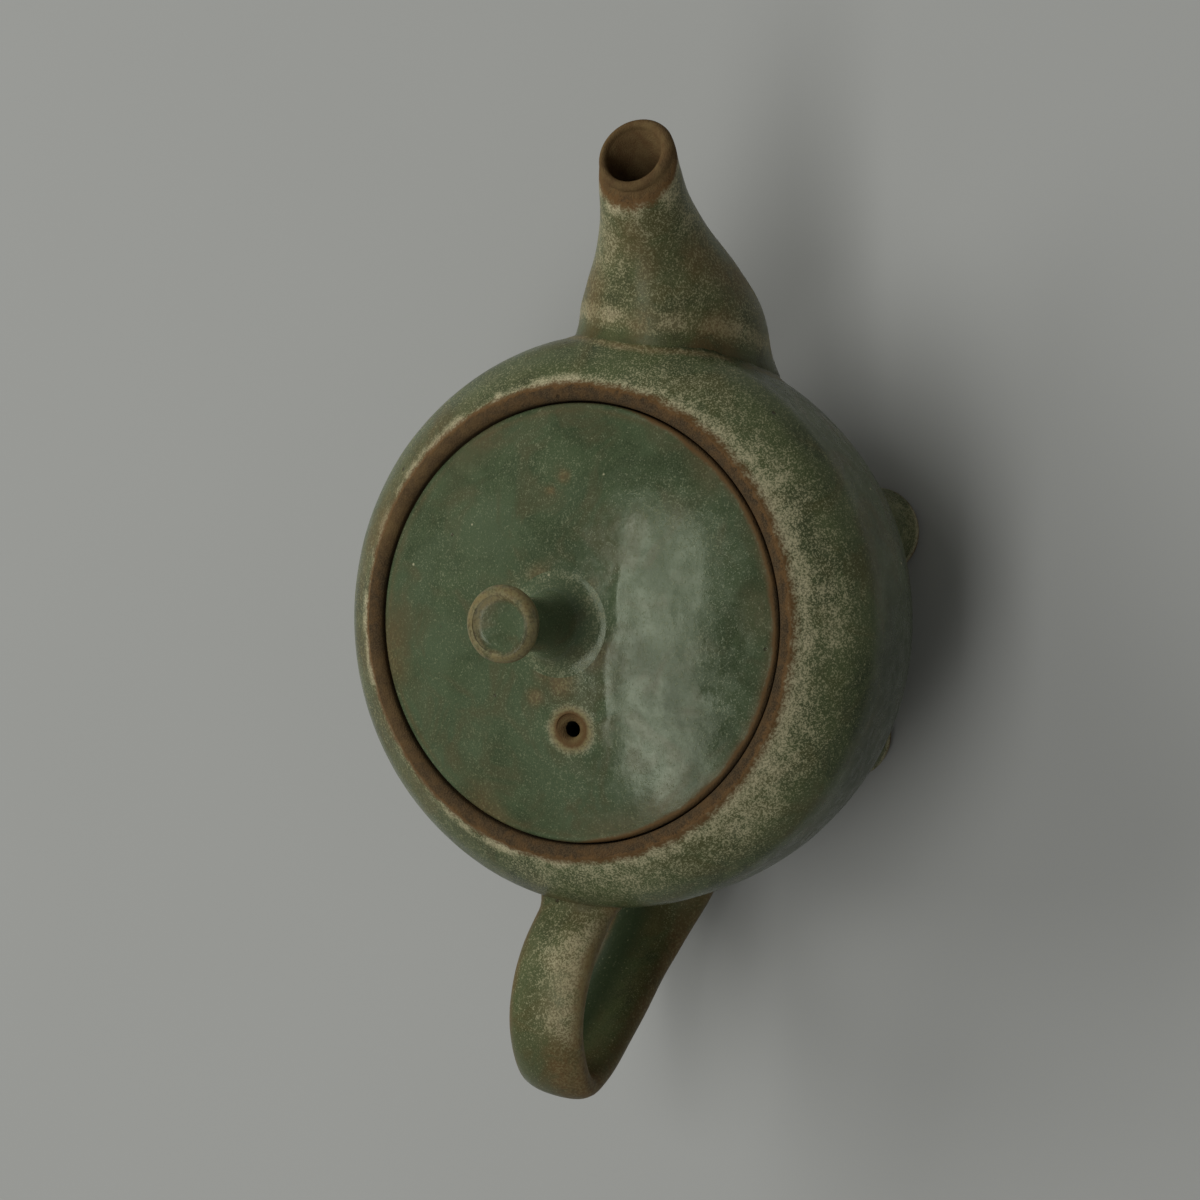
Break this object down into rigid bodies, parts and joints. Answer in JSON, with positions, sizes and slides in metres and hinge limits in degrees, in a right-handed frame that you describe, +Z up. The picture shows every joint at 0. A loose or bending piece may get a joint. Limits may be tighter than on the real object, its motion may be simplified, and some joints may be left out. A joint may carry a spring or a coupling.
{
  "type": "small teapot",
  "caption": "Small round glazed stoneware teapot with a spout, a back handle, stub feet and a lift-off lid with a knob.",
  "frame": {"origin": "on the pot's upright axis, at the table that its feet stand on", "axes": "+X from the axis to the spout, the handle towards -X, +Z up"},
  "size_m": [0.1535, 0.09, 0.077],
  "materials": {
    "green_glaze": "satin sage-green ash glaze with pale speckle",
    "lid_glaze": "glossier blue-green ash glaze",
    "bare_clay": "unglazed fired brown stoneware"
  },
  "bodies": {
    "pot": {"pot_base": "green_glaze", "pot_body": "green_glaze", "spout": "green_glaze", "handle": "green_glaze", "strainer": "bare_clay", "foot_1": "green_glaze", "foot_2": "green_glaze", "foot_3": "green_glaze", "foot_4": "green_glaze"},
    "lid": {"lid_dome": "lid_glaze", "lid_flange": "bare_clay", "lid_knob": "lid_glaze"}
  },
  "joints": [
    {"name": "lid_lift", "type": "slide", "parent": "pot", "child": "lid", "axis": [0, 0, 1], "range_m": [0, 0.05]}
  ]
}
